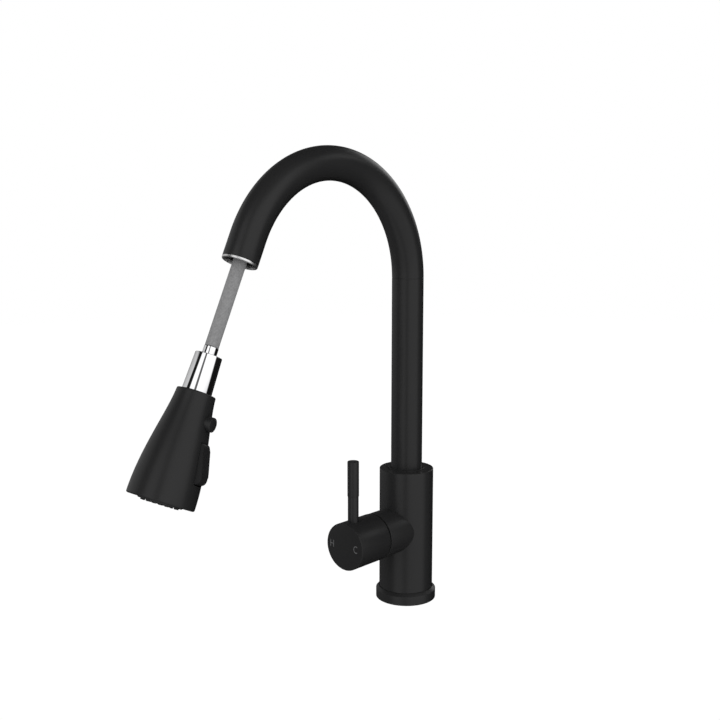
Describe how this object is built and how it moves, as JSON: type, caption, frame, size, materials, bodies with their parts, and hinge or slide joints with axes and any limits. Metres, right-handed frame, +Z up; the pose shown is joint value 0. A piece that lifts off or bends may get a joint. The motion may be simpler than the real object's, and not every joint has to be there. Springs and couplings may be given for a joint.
{
  "type": "pull down kitchen faucet",
  "caption": "Single lever kitchen faucet with a high arched swivel spout and a spray head on a braided hose that pulls down out of the spout",
  "frame": {"origin": "Middle of the deck face under the round flange, on the axis of the body and of the deck hole.", "axes": "+Z up along the body and the riser; the spout and the side lever point to -Y; +X is to the right of someone who stands behind the faucet and looks along +Y reversed, so the mode paddle and pause button face +X."},
  "size_m": [0.0554, 0.3788, 0.665],
  "materials": {
    "black_paint": "matt black powder coat, fine texture",
    "black_plastic": "matt black moulded",
    "chrome": "polished",
    "steel": "plain",
    "brass": "machined",
    "rubber": "moulded",
    "white_plastic": "moulded",
    "ceramic": "ground and polished",
    "braid": "grey woven braid over a rubber tube"
  },
  "bodies": {
    "root": {"base_flange": "black_paint", "base_gasket": "rubber", "body_shell": "black_paint", "cartridge_dome": "black_paint", "cartridge_housing": "white_plastic", "cartridge_nut": "brass", "cartridge_seal": "rubber", "clamp_gasket": "rubber", "clamp_washer": "steel", "cold_inlet_pipe": "brass", "fixed_disc": "ceramic", "hose_in_body": "braid", "hose_loop": "braid", "hose_plug": "steel", "hot_inlet_pipe": "brass", "mounting_nut": "brass", "mounting_shank": "brass", "outlet_connector": "brass", "outlet_pipe": "brass", "swivel_sleeve": "brass", "valve_housing": "black_paint", "waterway_block": "brass"},
    "turret": {"cartridge_turret": "white_plastic", "pivot_pin": "steel"},
    "disc": {"moving_disc": "ceramic", "disc_carrier": "white_plastic"},
    "handle": {"cartridge_stem": "brass", "handle_hub": "brass", "handle_cap": "black_paint", "lever_rod": "black_paint", "lever_sleeve": "black_paint", "set_screw": "steel", "set_screw_plug": "black_paint"},
    "spout": {"spout_tube": "black_paint", "spout_lower_bush": "white_plastic", "spout_upper_bush": "white_plastic", "spout_trim_ring": "black_paint", "outlet_ring": "steel", "dock_bush": "black_plastic", "hose_in_spout": "braid"},
    "hose_end": {"hose_exposed": "braid", "hose_ferrule": "chrome", "hose_nipple": "brass"},
    "head": {"head_stem": "chrome", "check_valve": "white_plastic", "head_shell": "black_paint", "head_core": "black_plastic", "spray_face": "black_plastic", "nozzle_mat": "rubber", "aerator": "black_plastic", "face_ring": "black_plastic", "paddle_pin": "steel"},
    "button": {"pause_button": "black_plastic", "button_spring": "steel"},
    "paddle": {"mode_paddle": "black_paint", "rocker_arm": "white_plastic"},
    "diverter": {"diverter_spool": "white_plastic"},
    "weight": {"hose_weight": "steel"}
  },
  "joints": [
    {"name": "spout_swivel", "type": "hinge", "parent": "root", "child": "spout", "pos_m": [0, 0, 0.1], "axis": [0, 0, 1], "continuous": true},
    {"name": "head_pull", "type": "slide", "parent": "spout", "child": "hose_end", "axis": [0, -0.4278, -0.9039], "range_m": [-0.1003, 0.115], "deforming": ["hose_exposed"]},
    {"name": "head_spin", "type": "hinge", "parent": "hose_end", "child": "head", "pos_m": [0, -0.22916, 0.24463], "axis": [0, -0.4278, -0.9039], "continuous": true},
    {"name": "pause_button", "type": "slide", "parent": "head", "child": "button", "axis": [-0.9272, -0.3386, 0.1603], "range_m": [0, 0.0025], "stiffness_N_per_m": 300, "springref_m": -0.003, "deforming": ["button_spring"]},
    {"name": "mode_paddle", "type": "hinge", "parent": "head", "child": "paddle", "pos_m": [0.01632, -0.25375, 0.17727], "axis": [-0.3746, 0.838, -0.3967], "range_deg": [0, 5]},
    {"name": "diverter_shift", "type": "slide", "parent": "head", "child": "diverter", "axis": [0, -0.4278, -0.9039], "range_m": [-0.0015, 0]},
    {"name": "handle_temperature", "type": "hinge", "parent": "root", "child": "turret", "pos_m": [0, -0.034, 0.067], "axis": [0, -1, 0], "range_deg": [-45, 45]},
    {"name": "handle_flow", "type": "hinge", "parent": "turret", "child": "handle", "pos_m": [0, -0.034, 0.067], "axis": [1, 0, 0], "range_deg": [0, 18]},
    {"name": "disc_slide", "type": "slide", "parent": "turret", "child": "disc", "axis": [0, 0, 1], "range_m": [0, 0.002]},
    {"name": "loop_lift", "type": "slide", "parent": "root", "child": "weight", "axis": [0, 0, 1], "range_m": [-0.051, 0.058], "deforming": ["hose_loop"]}
  ],
  "couplings": [
    {"joint": "diverter_shift", "follows": "mode_paddle", "m_per_rad": -0.015},
    {"joint": "disc_slide", "follows": "handle_flow", "m_per_rad": 0.0056},
    {"joint": "loop_lift", "follows": "head_pull", "ratio": 0.5}
  ]
}
